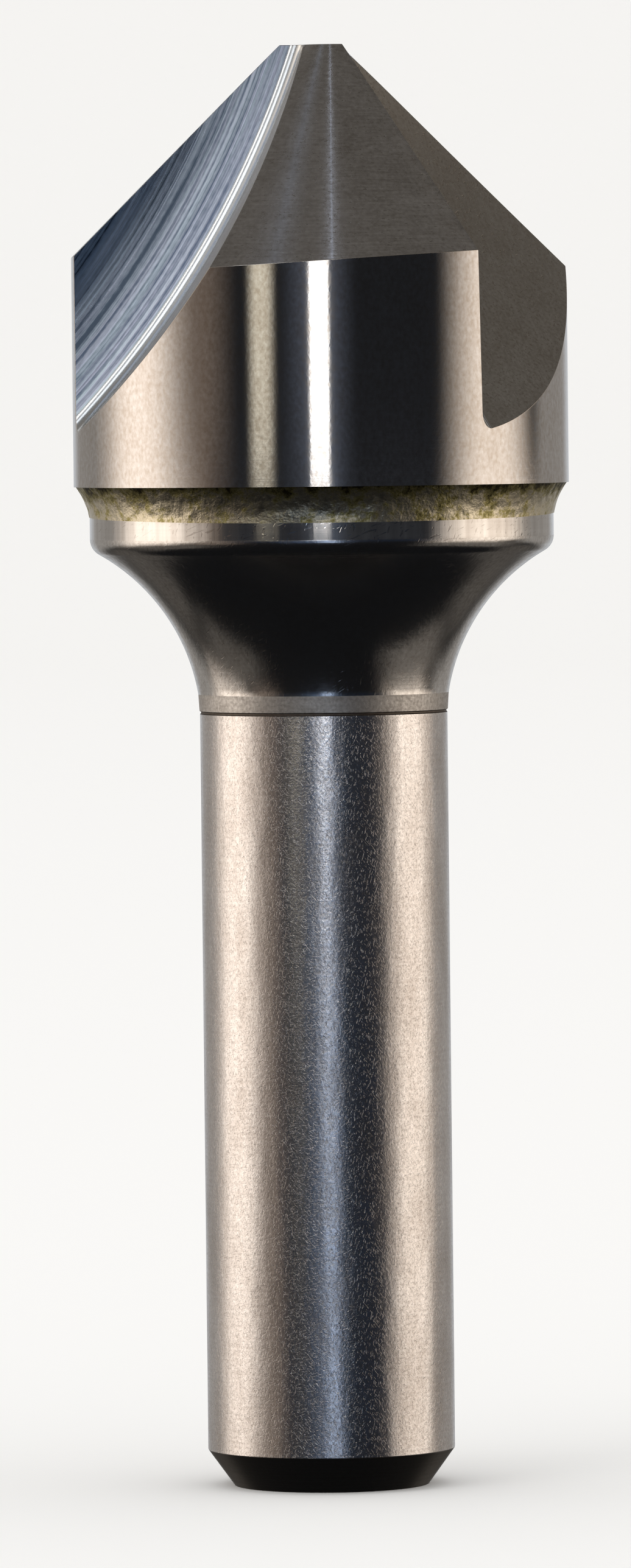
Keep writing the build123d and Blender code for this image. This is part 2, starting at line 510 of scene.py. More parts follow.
    def floorFlat(points):
        angle, reach, depth = wheelPlace(points)
        return np.column_stack([angle * filletRadius, cornerWalk + depth - cornerRadius])

    def fluteLift(flat):
        return flutePoint(flat[:, 0] / filletRadius, flat[:, 1])

    unroll = math.sin(math.pi / 4)  # a 90 degree cone laid flat: this share of its angles is left

    def landFlat(points):
        x, y = points[:, 0] - nextAxis[0], points[:, 1] - nextAxis[1]
        angle, slant = np.arctan2(y, x) * unroll, np.hypot(x, y) / unroll
        return np.column_stack([slant * np.cos(angle), slant * np.sin(angle)])

    def landLift(flat):
        angle, slant = np.arctan2(flat[:, 1], flat[:, 0]) / unroll, np.hypot(flat[:, 0], flat[:, 1])
        return onNextLand(angle, coneTop - slant * unroll)

    middleTurn = footAngle + math.radians(third) / 2

    def sideFlat(points):
        away = turned(points, -math.degrees(middleTurn))
        return np.column_stack([np.arctan2(away[:, 1], away[:, 0]) * radius, away[:, 2]])

    def sideLift(flat):
        return onSide(flat[:, 0] / radius + middleTurn, flat[:, 1])

    def levelFlat(points):
        return points[:, :2]

    def levelLift(height):
        return lambda flat: np.column_stack([flat, np.full(len(flat), height)])

    # what way each surface faces, worked out from its own form so that reflections run true
    def wheelRadial(points):
        angle = wheelPlace(points)[0]
        return np.cos(angle)[:, None] * np.array([-1.0, 0, 0]) - np.sin(angle)[:, None] * upRake

    def rakeFacing(points):
        return np.tile(offRake, (len(points), 1))

    def filletFacing(points):
        roll = filletFlat(points)[:, 1:] / cornerRadius
        return np.cos(roll) * offRake - np.sin(roll) * wheelRadial(points)

    def floorFacing(points):
        return -(wheelRadial(points) + floorLean * offRake) / math.hypot(1, floorLean)

    def landFacing(points):
        away = (points - nextAxis) * np.array([1, 1, 0])
        return (away / np.linalg.norm(away, axis=1)[:, None] + np.array([0, 0, 1])) * unroll

    def sideFacing(points):
        away = points * np.array([1, 1, 0])
        return away / np.linalg.norm(away, axis=1)[:, None]

    def levelFacing(rise):
        return lambda points: np.tile([0, 0, rise], (len(points), 1))

    # marks run along the first number and are crossed by the second, both in mm
    def rakeMarks(points):
        angle, reach, depth = wheelPlace(points)
        return np.column_stack([angle * filletRadius, reach - filletRadius])

    def landMarks(points):
        x, y = points[:, 0] - nextAxis[0], points[:, 1] - nextAxis[1]
        return np.column_stack([np.arctan2(y, x) * shape["landReach"], np.hypot(x, y) / unroll])

    outlines = {
        "rake": joined(rakeTip, edge, rakeOut, rakeFillet[::-1]),
        "fillet": joined(fluteTip, trailingFillet, filletFloor, filletOut, rakeFillet[::-1]),
        "floor": joined(trailingFloor, floorOut, filletFloor[::-1]),
        "land": joined(landTip, nextEdge, landOut, trailingFloor[::-1], trailingFillet[::-1]),
        "tip": joined(hub, fluteTip, landTip, nextTip[::-1]),
        "side": joined(rim, turned(seam[::-1], third), nextOut[::-1], landOut, floorOut, filletOut, seam),
        "bottom": joined(base, rim),
    }
    # for each: flat, lifted, facing, marks, and its triangles' spacing and stretch
    forms = {
        "rake": (rakeFlat, rakeLift, rakeFacing, rakeMarks, gap, 1),
        "fillet": (filletFlat, fluteLift, filletFacing, filletFlat, gap, fine / gap),
        "floor": (floorFlat, fluteLift, floorFacing, floorFlat, gap, 1),
        "land": (landFlat, landLift, landFacing, landMarks, gap, 1),
        "tip": (levelFlat, levelLift(top), levelFacing(1.0), levelFlat, gap, 1),
        "side": (sideFlat, sideLift, sideFacing, sideFlat, gap, shape["sideStretch"]),
        "bottom": (levelFlat, levelLift(shape["bottom"]), levelFacing(-1.0), levelFlat, 3 * gap, 1),
    }
    return outlines, forms


def buildHead(shape, materials):
    outlines, forms = headSurfaces(shape)
    names = list(forms)
    bm = bmesh.new()
    patchOf = bm.faces.layers.int.new("patch")
    turnOf = bm.faces.layers.int.new("turn")
    third = 360 / shape["flutes"]
    for patch, outline in outlines.items():
        flatten, lift, facing, marks, spacing, stretch = forms[patch]
        flat, triangles = filled(flatten(outline), spacing, stretch)
        points = lift(flat)
        # the outline's own points come back in their order, so neighbours share them exactly
        points[:len(outline)] = outline
        for number in range(shape["flutes"]):
            turn = shape["firstEdge"] + third * number
            verts = [bm.verts.new(point * mm) for point in turned(points, turn)]
            away = turned(facing(points), turn)
            for triangle in triangles:
                a, b, c = (verts[i].co for i in triangle)
                if (b - a).cross(c - a).dot(Vector(away[triangle[0]])) < 0:
                    triangle = triangle[::-1]
                face = bm.faces.new([verts[i] for i in triangle])
                face[patchOf], face[turnOf] = names.index(patch), number
                face.smooth = True
    bmesh.ops.remove_doubles(bm, verts=bm.verts[:], dist=weld * mm)

    # break every corner between two surfaces that don't run smoothly into each other
    smoothPairs = [{"rake", "fillet"}, {"fillet", "floor"}]
    corners = []
    for edge in bm.edges:
        pair = {names[face[patchOf]] for face in edge.link_faces}
        if len(pair) == 2 and pair not in smoothPairs and "bottom" not in pair:
            corners.append(edge)

    broken = bmesh.ops.bevel(
        bm, geom=corners, offset=shape["edgeBreak"] * mm, offset_type="OFFSET", segments=1,
        affect="EDGES", clamp_overlap=True, material=-1)
    cornerFaces = set(broken["faces"])

    # a corner point keeps the direction of the surface that it lies on, so the broken corners look rounded
    bm.verts.index_update()
    marksLayer = bm.loops.layers.uv.new("marks")
    facings, vertFacing = {}, {}
    for face in bm.faces:
        patch, number = names[face[patchOf]], face[turnOf]
        turn = shape["firstEdge"] + third * number
        facing, marks = forms[patch][2:4]
        local = turned(np.array([loop.vert.co / mm for loop in face.loops]), -turn)
        for loop, place in zip(face.loops, marks(local)):
            loop[marksLayer].uv = (place[0] + shape["marksShift"] * number, place[1])
        face.smooth = True
        if face in cornerFaces:
            face.material_index = materials.index("corner")
            continue
        face.material_index = materials.index(patch)
        facings[face] = turned(facing(local), turn)
        for loop, away in zip(face.loops, facings[face]):
            vertFacing.setdefault(loop.vert.index, {})[patch] = away
    loopFacings = []
    for face in bm.faces:
        if face in facings:
            loopFacings.extend(facings[face])
        else:
            for loop in face.loops:
                loopFacings.append(sum(vertFacing[loop.vert.index].values()))
    return bm, [Vector(away).normalized() for away in loopFacings]


# marks are (length, width, depth, weight in the shade); mottle and waves are (across, up the axis, depth,
# weight), or as the marks where they follow the cut; all lengths in mm. A fine grinding wheel leaves marks
# about 0.02 mm wide, too fine to show, so they are drawn 0.13 to 0.2 mm wide here and on the shank
headLooks = {
    # side: cylindrical grinding, lapped almost to a mirror, with a faint orange peel
    "side": {"colour": "#D3D0CE", "darker": "#B8AFA6", "roughness": (0.07, 0.11), "anisotropic": 0.5,
             "marks": (12.0, 0.14, 0.0003, 0.1), "mottle": (0.2, 0.28, 0.0009, 1.3),
             "waves": (1.2, 2.5, 0.0012, 0.3)},
    # cone lands: ground across the slope, duller, so they take a soft tone from the ceiling; the oil left
    # on them draws a fine bright line down the slope
    "land": {"colour": "#C8C5C2", "darker": "#9A948D", "roughness": (0.22, 0.28), "anisotropic": 0.95,
             "oil": 0.8,
             "marks": (1.4, 0.13, 0.003, 0.6), "mottle": (0.22, 0.22, 0.0015, 0.8),
             "waves": (1.6, 2.0, 0.001, 0.4),
             "dents": {"turns": (0,), "size": (0.22, 0.12), "above": 0.66, "depth": 0.003, "shade": -0.4}},
    # rake faces: the wheel's flat side leaves long arcs; their steel blue colour, near-black navy away from
    # the fillet and paler near it, is a painted reflection of the blue glow and the dark surround
    "rake": {"colour": "#60738C", "darker": "#0F1724", "roughness": (0.16, 0.24), "anisotropic": 0.9,
             "alongCut": True,
             "marks": (45.0, 0.15, 0.004, 1.9), "mottle": (0.5, 0.12, 0.0012, 0.5),
             "waves": (20.0, 0.7, 0.004, 0.9),
             "inward": {"from": -4.6, "to": -0.2, "uneven": 2.0, "colour": "#F2F8FF", "darker": "#8493A8",
                        "rougher": 0.2, "temper": 0.22, "temperSize": (40.0, 0.3),
                        "violet": "#C9BEF2", "violetAt": 0.4, "cyan": "#A9DDE8", "cyanAt": 0.6}},
    # the wheel's rounded corner, burnished bright
    "fillet": {"colour": "#ECECEA", "darker": "#D8D8D6", "roughness": (0.21, 0.27), "anisotropic": 0.3,
               "alongCut": True,
               "marks": (30.0, 0.14, 0.0012, 0.7), "mottle": (0.3, 0.2, 0.0005, 0.3),
               "waves": (6.0, 0.5, 0.0005, 0.1)},
    # flute floors: the wheel's rim leaves a dull even face
    "floor": {"colour": "#CBC8C1", "darker": "#A79F95", "roughness": (0.42, 0.5), "anisotropic": 0.2,
              "marks": (1.5, 0.14, 0.001, 0.4), "mottle": (0.18, 0.18, 0.003, 0.9),
              "waves": (2.2, 2.6, 0.003, 0.5),
              "dents": {"turns": (0, 50), "size": (0.2, 0.14), "above": 0.64, "depth": 0.004,
                        "shade": -0.45}},
    # the flat at the tip, and the hidden face under the braze: ground without a direction that shows
    "tip": {"colour": "#C8C5C0", "darker": "#A29D96", "roughness": (0.22, 0.3), "anisotropic": 0.0,
            "marks": (2.0, 0.14, 0.001, 0.5), "mottle": (0.2, 0.2, 0.001, 0.5),
            "waves": (2.0, 2.0, 0.001, 0.2)},
    "bottom": {"colour": "#B6B1AA", "darker": "#A19B94", "roughness": (0.35, 0.45), "anisotropic": 0.0,
               "marks": (3.0, 0.2, 0.001, 0.5), "mottle": (0.3, 0.3, 0.001, 0.5),
               "waves": (3.0, 3.0, 0.001, 0.2)},
    # honed corners between the surfaces
    "corner": {"colour": "#D3CCC4", "darker": "#C1BAB2", "roughness": (0.18, 0.24), "anisotropic": 0.0,
               "marks": (2.0, 0.2, 0.0, 0.5), "mottle": (0.2, 0.2, 0.0, 0.5), "waves": (1.0, 1.0, 0.0, 0.1)},
}

surfaces = list(headLooks)
headMesh, headFacings = buildHead(headShape, surfaces)
headMetals = [groundMetal("carbide_" + name, headLooks[name]) for name in surfaces]
carbideHead = meshObject("ground_head", headMesh, headMetals, headFacings)
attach(carbideHead, "root")
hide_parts("carbide_head")
print("head made:", len(carbideHead.data.polygons), "faces")


# ---- the shank

shankShape = {
    "radius": 6.35, "length": 39.85,
    "chamferWidth": 1.35, "chamferLength": 1.87,
    "grooveWidth": 0.12, "grooveDepth": 0.05,
    "neckFoot": 6.375, "neckTop": 6.43, "neckHeight": 0.87,
    "flareRadius": 10.24, "flareStart": 9.3,
    "collarRadius": 11.9, "collarHeight": 3.08, "collarCorner": 0.9,
    "edgeBreak": 0.03,
    "steps": 256,
}
shankLooks = [
    # ground shank, worn satin by chucks: soft wavy reflections and short stray dents
    {"name": "steel_ground", "colour": "#EBE7E5", "darker": "#C8C0BA",
     "roughness": (0.2, 0.28), "anisotropic": 0.2,
     "marks": (5.0, 0.16, 0.001, 0.3), "mottle": (0.14, 0.18, 0.007, 0.7), "waves": (1.4, 4.0, 0.028, 0.8),
     "dents": {"turns": (15, 75, 130), "size": (0.3, 0.07), "above": 0.615, "depth": 0.0022, "shade": -0.06}},
    # chamfer and end: turned and left, with fine rings round the axis
    {"name": "steel_chamfer", "colour": "#A8A29B", "darker": "#8D877F",
     "roughness": (0.28, 0.36), "anisotropic": 0.2,
     "marks": (8.0, 0.14, 0.002, 0.6), "mottle": (0.2, 0.2, 0.001, 0.5), "waves": (1.5, 1.5, 0.002, 0.2)},
    # stop groove: darker and duller than the shank round it, so it reads as a dull dark line
    {"name": "steel_groove", "colour": "#7A7067", "darker": "#5A524B",
     "roughness": (0.5, 0.6), "anisotropic": 0.0,
     "marks": (8.0, 0.14, 0.001, 0.5), "mottle": (0.3, 0.2, 0.001, 0.5), "waves": (1.5, 1.5, 0.001, 0.2)},
    # flare, the collar's lower corner and its top: turned, then buffed with a coarse wheel, so streaks of
    # light run round it with uneven edges
    {"name": "steel_turned", "colour": "#E2DFDB", "darker": "#BEB8B2",
     "roughness": (0.15, 0.23), "anisotropic": 0.2,
     "marks": (5.0, 0.16, 0.0015, 0.4), "mottle": (0.2, 0.24, 0.005, 1.0), "waves": (1.4, 1.8, 0.014, 0.5),
     "dents": {"turns": (35, 80), "size": (0.5, 0.1), "above": 0.66, "depth": 0.0015, "shade": -0.3}},
    # neck band: left rough by the stop of a chuck, so it stays a pale grainy band
    {"name": "steel_neck", "colour": "#DCD8D3", "darker": "#B4AEA8",
     "roughness": (0.46, 0.56), "anisotropic": 0.0,
     "marks": (3.0, 0.16, 0.002, 0.4), "mottle": (0.16, 0.16, 0.012, 1.2), "waves": (1.4, 0.8, 0.012, 0.5)},
    # collar's side: buffed smooth, so it mirrors the studio in slow wavy patches
    {"name": "steel_collar", "colour": "#E2DFDB", "darker": "#BEB8B2",
     "roughness": (0.05, 0.08), "anisotropic": 0.0,
     "marks": (5.0, 0.3, 0.0002, 0.4), "mottle": (0.5, 8.0, 0.004, 1.0), "waves": (1.5, 14.0, 0.016, 0.6),
     "dents": {"turns": (35, 80), "size": (0.5, 0.1), "above": 0.66, "depth": 0.001, "shade": -0.3}},
]


def shankParts(shape):
    radius, length = shape["radius"], shape["length"]
    collar, flare = shape["collarRadius"], shape["flareRadius"]
    foot, neck, neckTop = shape["neckFoot"], shape["neckTop"], length + shape["neckHeight"]
    start = math.radians(shape["flareStart"])
    centre = (neck + flare * math.cos(start), neckTop - flare * math.sin(start))
    flareTop = centre[1] + math.sqrt(flare**2 - (centre[0] - collar)**2)
    top = flareTop + shape["collarHeight"]
    # the collar's lower corner is an arc tangent to its side and to the flare
    inner = collar - shape["collarCorner"]
    reach = flare + shape["collarCorner"]
    side = centre[0] - inner
    rise = math.sqrt(reach**2 - side**2)
    cornerCentre = (inner, centre[1] + rise)
    slope = math.degrees(math.atan2(rise, side))
    end, chamfer = radius - shape["chamferWidth"], shape["chamferLength"]
    below = length - shape["grooveWidth"]
    groove = radius - shape["grooveDepth"]
    return [
        ((0, 0), (end, 0), 4, 1),
        ((end, 0), (radius, chamfer), 3, 1),
        ((radius, chamfer), (radius, below), 24, 0),
        ((radius, below), (groove, below), 1, 2),
        ((groove, below), (groove, length), 1, 2),
        ((groove, length), (foot, length), 1, 2),
        ((foot, length), (neck, neckTop), 3, 4),
        (centre, flare, (180 - shape["flareStart"], 180 - slope), 30, 3),
        (cornerCentre, shape["collarCorner"], (-slope, 0), 10, 3),
        ((collar, cornerCentre[1]), (collar, top), 4, 5),
        ((collar, top), (0, top), 4, 3),
    ]


shankRows = profileRows(shankParts(shankShape), shankShape["edgeBreak"])
shankMesh, shankFacings = lathed(shankRows, shankShape["steps"], shankShape["radius"])
shankMetals = [groundMetal(look["name"], look) for look in shankLooks]
shank = meshObject("turned_shank", shankMesh, shankMetals, shankFacings)
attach(shank, "root")
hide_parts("shank")
print("shank made:", len(shank.data.polygons), "faces")


# ---- the braze

brazeShape = {
    "outer": 12.6, "collar": 11.9,
    "top": 51.426, "foot": 49.576, "layer": 0.15,
    "hollow": 3.2,
    "lap": 0.02,  # how far the solder's inner wall lies inside the collar
    "steps": 480, "rows": 18,
    "lump": 0.05, "lumpSize": 1.9,  # slow swells of the solder, in mm
    "grain": 0.03, "grainSize": 0.4,
    # its roughness at the lower edge, and how fast it grows from there and dies away at the head's edge
    "footRough": 0.3, "roughGrows": 4, "roughDies": 6,
    "thinnest": 0.01,  # the least solder left on the collar
    # how far the lower edge climbs, least at the front
    "wander": 0.28, "wanderNoise": 0.04, "wanderSize": 5.0,
    "seed": 11.3,
}
brazeLook = {
    "silver": "#DCD2B9", "yellow": "#B4AA72", "brown": "#4C4530",
    "brownUpTo": 0.3, "yellowAt": 0.41, "silverFrom": 0.5,
    "patchSize": 0.9, "patchDetail": 6.0, "patchRoughness": 0.75,
    "grainSize": 0.2, "grainDetail": 3.0, "grainRoughness": 0.6, "grainDepth": 0.03,
    "shadowReach": 0.8, "shadowDepth": 0.15,  # how far below the head's edge a painted shadow darkens it, and how much
    "dullUpTo": 0.35, "cleanFrom": 0.6, "roughness": (0.3, 0.5),  # clean, dull
}


def brazeParts(shape):
    # the layer in the joint, the inner wall on the collar, then a hollow up to the head's edge
    outer, collar, high, low = (shape[key] for key in ("outer", "collar", "top", "foot"))
    inner, layer = collar - shape["lap"], high - shape["layer"]
    rise, run = high - low, outer - collar
    chord = math.hypot(rise, run)
    back = math.sqrt(shape["hollow"]**2 - (chord / 2)**2)
    centre = ((outer + collar) / 2 + back * rise / chord, (high + low) / 2 - back * run / chord)
    angles = [math.degrees(math.atan2(z - centre[1], r - centre[0])) % 360
              for r, z in ((collar, low), (outer, high))]
    return [
        ((0, layer), (inner, layer), 3, 0),
        ((inner, layer), (inner, low), 3, 0),
        ((inner, low), (collar, low), 1, 0),
        (centre, shape["hollow"], angles, shape["rows"], 0),
        ((outer, high), (0, high), 3, 0),
    ], centre


def brazePlace(angle, radius, height):
    # the lower edge climbs and falls round the collar, and the hollow above it is lumpy
    shape = brazeShape
    spot = Vector((math.cos(angle), math.sin(angle), 0)) * shape["collar"] / shape["wanderSize"]
    foot = shape["foot"] + shape["wander"] * min(1, 1 + math.sin(angle))
    foot += shape["wanderNoise"] * (1 + noise.noise(spot + Vector((0, 0, shape["seed"])))) / 2
    up = (height - shape["foot"]) / (shape["top"] - shape["foot"])
    level = foot + up * (shape["top"] - foot)
    if radius < shape["collar"] - weld:
        # the inner wall starts where the edge does, and the layer in the joint stays
        nearLayer = 0.9
        return radius, max(height, foot) if up < nearLayer else height
    if height > shape["top"] - weld:
        return radius, height
    reach = brazeCentre[0] - math.sqrt(shape["hollow"]**2 - (level - brazeCentre[1])**2)
    spot = Vector((reach * math.cos(angle), reach * math.sin(angle), level))
    lump = noise.noise(spot / shape["lumpSize"] + Vector((shape["seed"], 0, 0))) * shape["lump"]
    grain = noise.noise(spot / shape["grainSize"] + Vector((0, shape["seed"], 0))) * shape["grain"]
    held = min(1, shape["footRough"] + shape["roughGrows"] * up, shape["roughDies"] * (1 - up))
    return max(reach + (lump + grain) * held, shape["collar"] + shape["thinnest"]), level


def solder(name, look):
    # rough silver solder: pale where it flowed clean, yellow and brown in patches where flux and heat
    # discoloured it, and a painted shadow just under the head's edge
    material, tree = newMaterial(name)
    solid = add(tree, "TexCoord").outputs["Object"]
    patches = add(tree, "TexNoise", {
        "Vector": solid, "Scale": 1 / (look["patchSize"] * mm),
        "Detail": look["patchDetail"], "Roughness": look["patchRoughness"]})
    grain = add(tree, "TexNoise", {
        "Vector": solid, "Scale": 1 / (look["grainSize"] * mm),
        "Detail": look["grainDetail"], "Roughness": look["grainRoughness"]})
    # painted shadow under the head's overhang: towards the head's edge the patches are pushed darker, browner
    # and duller
    height = add(tree, "SeparateXYZ", {"Vector": solid}).outputs["Z"]
    top = brazeShape["top"] * mm
    shadowDepth = add(tree, "MapRange", {
        "Value": height, "From Min": top - look["shadowReach"] * mm, "From Max": top,
        "To Min": 0.0, "To Max": -look["shadowDepth"]})
    patches = add(tree, "Math", {0: patches, 1: shadowDepth}, operation="ADD")
    ramp = add(tree, "ValToRGB", {"Fac": patches})
    tints = ramp.color_ramp.elements
    tints[0].position, tints[0].color = look["brownUpTo"], linear(look["brown"])
    tints[1].position, tints[1].color = look["silverFrom"], linear(look["silver"])
    tints.new(look["yellowAt"]).color = linear(look["yellow"])
    clean, dull = look["roughness"]
    roughness = add(tree, "MapRange", {
        "Value": patches, "From Min": look["dullUpTo"], "From Max": look["cleanFrom"],
        "To Min": dull, "To Max": clean})
    bump = add(tree, "Bump", {"Height": grain, "Strength": 1.0, "Distance": look["grainDepth"] * mm})
    shader = add(tree, "BsdfPrincipled", {
        "Base Color": ramp, "Metallic": 1.0, "Roughness": roughness, "Normal": bump})
    add(tree, "OutputMaterial", {"Surface": shader})
    return material


brazeProfile, brazeCentre = brazeParts(brazeShape)
brazeRows = profileRows(brazeProfile, 0.0)
brazeMesh = lathed(brazeRows, brazeShape["steps"], brazeShape["collar"], brazePlace)[0]
braze = meshObject("solder_fillet", brazeMesh, [solder("silver_solder", brazeLook)])
roughRim = 50  # degrees: a bend of the solder's mesh that is sharper than this stays sharp
braze.data.set_sharp_from_angle(angle=math.radians(roughRim))
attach(braze, "root")
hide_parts("braze_joint")
print("braze made:", len(braze.data.polygons), "faces")


# ---- studio

studio = {
    "floorReach": 1.75, "floorCurve": 0.6, "floorColour": "#F8F7F5",
    "world": 0.97,
    "lampSize": 0.9, "lampPower": 3.0, "lampAt": (-0.9, -0.9, 1.5),
    "surround": "#151618",
    # bars of light under the ceiling, which draw fine lines down the cone lands: left, right, strength
    "ceilingBars": {"bar_line": (-0.003, 0.0035, 2.4), "bar_glint": (-0.11, -0.075, 0.42)},
    "barLength": 0.34, "barHeight": 0.455, "barColour": "#D9E6FF",
    "roomRadius": 0.62, "ceilingRadius": 0.5, "ceilingHeight": 0.46,
    "cardSpan": (9.0, 1.0),  # the widest and tallest stretch of a card between points: degrees, metres
    "floorRings": (0.0, 0.05, 0.3, 1.0), "floorSides": 96, "curveSteps": 24,
}
# soft boxes and screens round the tool, which only its reflections see; nearer ones hide those behind them.
# Each: from and to in degrees to the right of the camera's side, foot, head and distance in metres, colour,
# strength, and how wide its sides, foot and head fade
studioCards = {
    "wall_back": (112, 248, -0.15, 0.46, 0.47, "#FFFAF4", 0.34, (14, 0.10, 0.0)),
    "wall_centre": (150, 210, -0.10, 0.30, 0.46, "#F6FAFF", 0.62, (16, 0.08, 0.10)),
    "ceiling_rim": (-180, 180, 0.40, 0.60, 0.48, "#FFF8F0", 0.17, (0, 0.03, 0)),
    "screen_night": (-62, 66, 0.0475, 0.25, 0.45, "#E6EEFF", 0.022, (6, 0.0, 0.05)),
    "screen_dusk": (-66, 70, -0.075, 0.0475, 0.45, "#A8C8FF", 0.03, (6, 0.02, 0.0)),
    "screen_umber": (-78, -36, -0.15, 0.25, 0.44, "#FFE9D8", 0.21, (20, 0.03, 0.05)),
    "soft_box_left": (-130, -57, 0.0475, 0.30, 0.40, "#FFF3E7", 1.7, (34, 0.0, 0.07)),
    "low_box_left": (-130, -51, -0.15, 0.0475, 0.40, "#FFF3E7", 1.7, (32, 0.16, 0.0)),
    "soft_box_right": (54, 118, 0.0475, 0.30, 0.40, "#FFF2E4", 1.35, (28, 0.0, 0.07)),
    "low_box_right": (51, 128, -0.15, 0.0475, 0.40, "#FFF2E4", 1.5, (29, 0.16, 0.0)),
    "under_left": (-135, -48, -0.34, -0.10, 0.42, "#FFF6EC", 0.11, (30, 0.10, 0.06)),
    "under_right": (46, 135, -0.34, -0.08, 0.42, "#FFF6EC", 0.17, (30, 0.10, 0.06)),
    "under_back": (120, 240, -0.34, -0.10, 0.43, "#FFF6EC", 0.1, (20, 0.10, 0.06)),
    "fill_left": (-150, -46, 0.24, 0.46, 0.42, "#FFFFFF", 0.6, (12, 0.03, 0.06)),
    "key_left": (-46, -16, 0.19, 0.36, 0.41, "#F0F6FF", 2.4, (5, 0.03, 0.03)),
    "screen_cream": (-34.5, -19, 0.0475, 0.2, 0.40, "#FFF8E4", 1.0, (6, 0.0, 0.03)),
    "strip_halo": (-20, 18, 0.0475, 0.25, 0.42, "#D4E2FF", 0.13, (15, 0.0, 0.05)),
    "strip_glow": (-26, 20, -0.09, 0.038, 0.42, "#94C0FF", 0.16, (20, 0.02, 0.01)),
    "strip_spill": (-8, 9, 0.012, 0.035, 0.41, "#CFE4FF", 2.8, (7, 0.01, 0.006)),
    "collar_dusk": (-58, 66, 0.038, 0.0475, 0.43, "#DCE2EE", 0.055, (12, 0.003, 0.0)),
    "collar_glow": (-10, 14, 0.038, 0.0475, 0.42, "#CFE0FF", 0.13, (10, 0.003, 0.0)),
    "strip_foot": (-2, 9, -0.08, -0.014, 0.41, "#C2DAFF", 1.7, (4, 0.0, 0.014)),
    "strip_light": (-4.9, 4.3, 0.0475, 0.25, 0.39, "#FFFFFF", 3.2, (0.6, 0.0, 0.05)),
}


def glowMaterial(name, colour, strength):
    # fades out where the mesh's own glow value falls to nothing at its rim
    material, tree = newMaterial(name)
    glow = add(tree, "Attribute", attribute_name="glow").outputs["Fac"]
    fade = add(tree, "MapRange", {"Value": glow}, interpolation_type="SMOOTHSTEP")
    light = add(tree, "Emission", {"Color": linear(colour), "Strength": strength})
    faded = add(tree, "MixShader", {"Fac": fade, 1: add(tree, "BsdfTransparent"), 2: light})
    add(tree, "OutputMaterial", {"Surface": faded})
    return material


def glowMesh():
    # an empty mesh whose points will each carry how strongly they glow
    bm = bmesh.new()
    return bm, bm.verts.layers.float.new("glow")


def onlyReflected(piece):
    piece.visible_camera = piece.visible_diffuse = piece.visible_shadow = False
    piece.visible_transmission = piece.visible_volume_scatter = False


def stops(low, high, softLow, softHigh, gap):
    # places along one side of a card with how strongly it glows there
    count = math.ceil((high - low - softLow - softHigh) / gap) + 1
    places = [(place, 1.0) for place in np.linspace(low + softLow, high - softHigh, max(2, count))]
    return ([(low, 0.0)] if softLow else []) + places + ([(high, 0.0)] if softHigh else [])


def buildCard(name, card):
    start, end, low, high, distance, colour, strength, (side, foot, head) = card
    turnGap, riseGap = studio["cardSpan"]
    bm, glow = glowMesh()
    rows = []
    for height, rowGlow in stops(low, high, foot, head, riseGap):
        row = []
        for angle, columnGlow in stops(start, end, side, side, turnGap):
            turn = math.radians(angle)
            vert = bm.verts.new((distance * math.sin(turn), -distance * math.cos(turn), height))
            vert[glow] = rowGlow * columnGlow
            row.append(vert)
        rows.append(row)
    for under, over in zip(rows, rows[1:]):
        for number in range(len(under) - 1):
            bm.faces.new([under[number], under[number + 1], over[number + 1], over[number]])
    onlyReflected(meshObject(name, bm, [glowMaterial(name, colour, strength)]))


def buildSurround():
    # a dark room round the cards, with a paler ceiling, so nothing else stands in the metal
    bm, glow = glowMesh()
    bmesh.ops.create_icosphere(bm, subdivisions=4, radius=studio["roomRadius"])
    for vert in bm.verts:
        vert[glow] = 1.0
    onlyReflected(meshObject("surround", bm, [glowMaterial("surround", studio["surround"], 1.0)]))
    bm, glow = glowMesh()
    reach, height = studio["ceilingRadius"], studio["ceilingHeight"]
    turns = [math.radians(angle) for angle in range(0, 360, 10)]
    rim = [bm.verts.new((reach * math.cos(turn), reach * math.sin(turn), height)) for turn in turns]
    for vert in rim:
        vert[glow] = 1.0
    bm.faces.new(rim)
    colour, strength = studioCards["ceiling_rim"][5:7]
    onlyReflected(meshObject("ceiling_top", bm, [glowMaterial("ceiling_top", colour, strength)]))
    reach, height = studio["barLength"] / 2, studio["barHeight"]
    for name, (left, right, strength) in studio["ceilingBars"].items():
        bm, glow = glowMesh()
        middle = (left + right) / 2
        columns = [[bm.verts.new((x, y, height)) for y in (-reach, reach)] for x in (left, middle, right)]
        for vert in columns[1]:
            vert[glow] = 1.0
        for here, there in zip(columns, columns[1:]):
            bm.faces.new([here[0], there[0], there[1], here[1]])
        onlyReflected(meshObject(name, bm, [glowMaterial(name, studio["barColour"], strength)]))


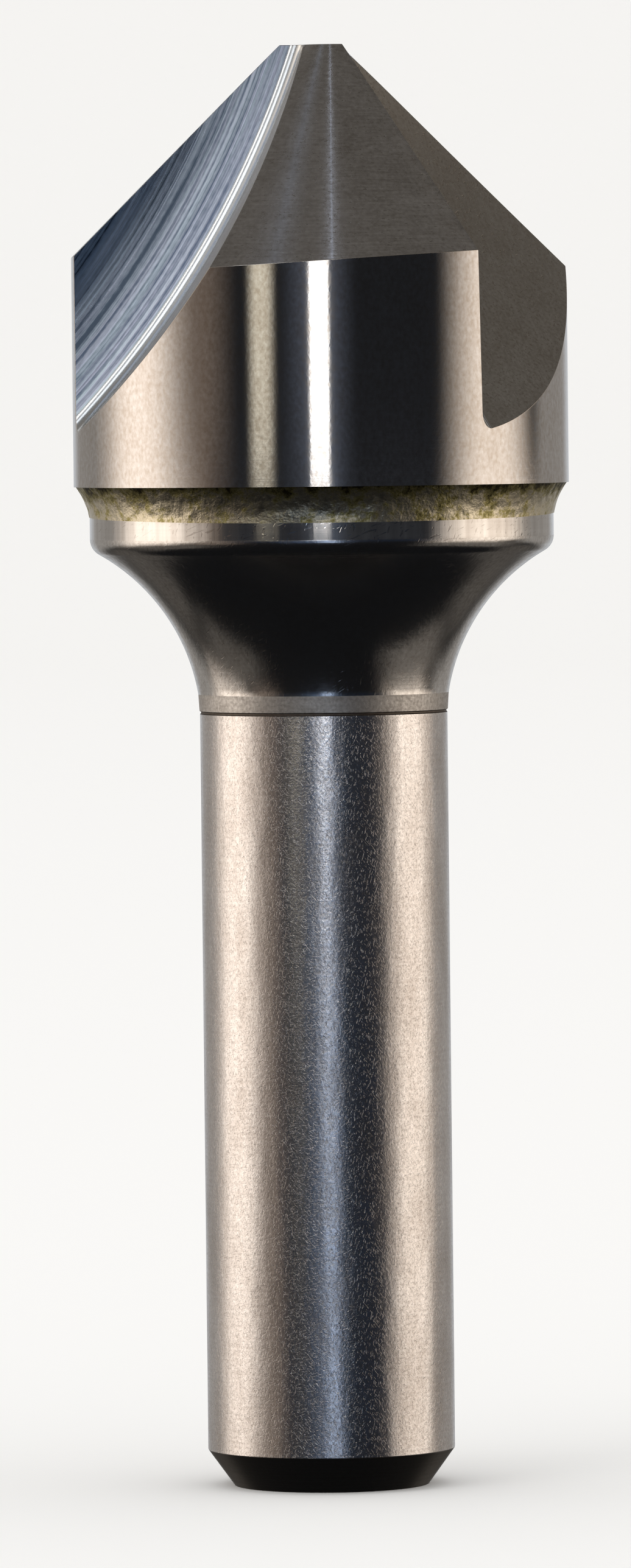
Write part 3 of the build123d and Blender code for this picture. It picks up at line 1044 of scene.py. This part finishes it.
def buildFloor():
    # a wide floor that curves up all round, so no view meets a horizon line
    reach, curve = studio["floorReach"], studio["floorCurve"]
    sides, curveSteps = studio["floorSides"], studio["curveSteps"]
    profile = [(radius, 0.0) for radius in studio["floorRings"]]
    for step in range(curveSteps + 1):
        turn = math.radians(90 * step / curveSteps)
        profile.append((reach + curve * math.sin(turn), curve * (1 - math.cos(turn))))
    bm = bmesh.new()
    turns = [2 * math.pi * number / sides for number in range(sides)]
    rings = []
    for radius, height in profile:
        if radius:
            places = [(radius * math.cos(turn), radius * math.sin(turn), height) for turn in turns]
            rings.append([bm.verts.new(place) for place in places])
        else:
            rings.append([bm.verts.new((0, 0, 0))] * sides)
    for low, high in zip(rings, rings[1:]):
        for number in range(sides):
            following = (number + 1) % sides
            corners = [low[number], high[number], high[following]]
            if low[number] is not low[following]:
                corners.append(low[following])
            bm.faces.new(corners).smooth = True
    # painted board, lit evenly; clear from below, so a view from under it isn't blocked
    material, tree = newMaterial("pale_floor")
    paint = add(tree, "BsdfDiffuse", {"Color": linear(studio["floorColour"])})
    behind = add(tree, "NewGeometry").outputs["Backfacing"]
    oneSided = add(tree, "MixShader", {"Fac": behind, 1: paint, 2: add(tree, "BsdfTransparent")})
    add(tree, "OutputMaterial", {"Surface": oneSided})
    floor = meshObject("floor", bm, [material])
    floor.visible_glossy = False


buildSurround()
for name, card in studioCards.items():
    buildCard(name, card)
buildFloor()

world = bpy.data.worlds.new("studio")
scene.world = world
world.use_nodes = True
background = world.node_tree.nodes["Background"]
background.inputs["Color"].default_value = (1, 1, 1, 1)
background.inputs["Strength"].default_value = studio["world"]
world.cycles.sampling_method = "NONE"

lampData = bpy.data.lights.new("soft_lamp", "AREA")
lampData.shape, lampData.size, lampData.energy = "DISK", studio["lampSize"], studio["lampPower"]
lamp = bpy.data.objects.new("soft_lamp", lampData)
lamp.location = studio["lampAt"]
lamp.rotation_euler = (-Vector(studio["lampAt"])).to_track_quat("-Z", "Y").to_euler()
lamp.visible_glossy = False
scene.collection.objects.link(lamp)
print("studio made:", len(studioCards), "cards")


# ---- camera, at the photograph's place and angle

cameraView = {
    "place": (0, -0.58995, 0.0565), "down": 1.9858, "left": 0.04497, "roll": -0.6254,
    "lens": 263.75, "sensor": 36, "nearest": 0.02, "farthest": 10,
}

cameraData = bpy.data.cameras.new("camera")
cameraData.lens, cameraData.sensor_width = cameraView["lens"], cameraView["sensor"]
cameraData.clip_start, cameraData.clip_end = cameraView["nearest"], cameraView["farthest"]
camera = bpy.data.objects.new("camera", cameraData)
down, yaw, roll = (math.radians(cameraView[key]) for key in ("down", "left", "roll"))
forward = Vector((math.sin(-yaw) * math.cos(down), math.cos(yaw) * math.cos(down), -math.sin(down)))
right = Vector((math.cos(yaw), -math.sin(-yaw), 0))
above = right.cross(forward)
right, above = (
    right * math.cos(roll) + above * math.sin(roll),
    above * math.cos(roll) - right * math.sin(roll))
camera.matrix_world = Matrix((
    (right.x, above.x, -forward.x, cameraView["place"][0]),
    (right.y, above.y, -forward.y, cameraView["place"][1]),
    (right.z, above.z, -forward.z, cameraView["place"][2]),
    (0, 0, 0, 1)))
scene.collection.objects.link(camera)
scene.camera = camera
print("camera set")
